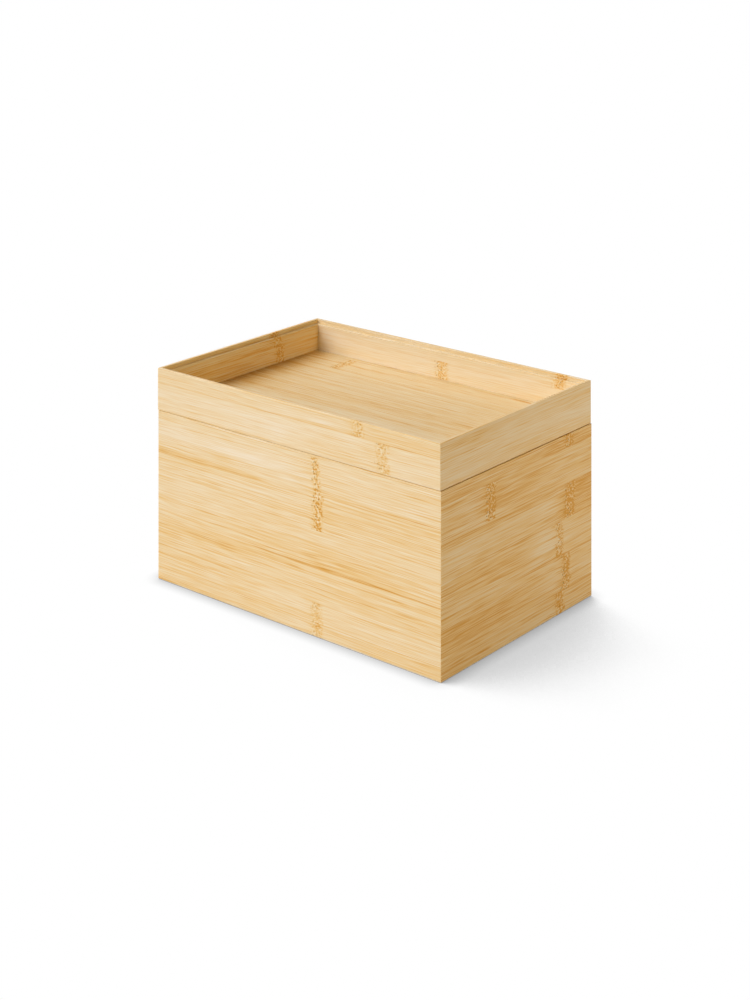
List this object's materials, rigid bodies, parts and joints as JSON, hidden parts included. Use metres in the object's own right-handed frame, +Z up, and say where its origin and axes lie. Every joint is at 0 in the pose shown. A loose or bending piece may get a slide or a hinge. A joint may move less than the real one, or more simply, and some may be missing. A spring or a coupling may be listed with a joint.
{
  "type": "lidded storage box",
  "caption": "Rectangular bamboo keeper with mitred walls and a loose lift-off lid that doubles as a shallow tray.",
  "frame": {"origin": "middle of the underside, on the surface that the box stands on", "axes": "+X along the long side, +Y from front to back, +Z up"},
  "size_m": [0.2545, 0.172, 0.15],
  "materials": {
    "bamboo_board": "satin clear lacquer on flat-pressed bamboo",
    "spline_strip": "bare bamboo strip"
  },
  "bodies": {
    "box": {"box_front_wall": "bamboo_board", "box_back_wall": "bamboo_board", "box_left_wall": "bamboo_board", "box_right_wall": "bamboo_board", "box_base_panel": "bamboo_board", "box_front_left_spline": "spline_strip", "box_front_right_spline": "spline_strip", "box_back_left_spline": "spline_strip", "box_back_right_spline": "spline_strip"},
    "lid": {"lid_front_rail": "bamboo_board", "lid_back_rail": "bamboo_board", "lid_left_rail": "bamboo_board", "lid_right_rail": "bamboo_board", "lid_tray_panel": "bamboo_board", "lid_front_left_spline": "spline_strip", "lid_front_right_spline": "spline_strip", "lid_back_left_spline": "spline_strip", "lid_back_right_spline": "spline_strip"}
  },
  "joints": [
    {"name": "lid_lift", "type": "slide", "parent": "box", "child": "lid", "axis": [0, 0, 1], "range_m": [0, 0.12]}
  ]
}
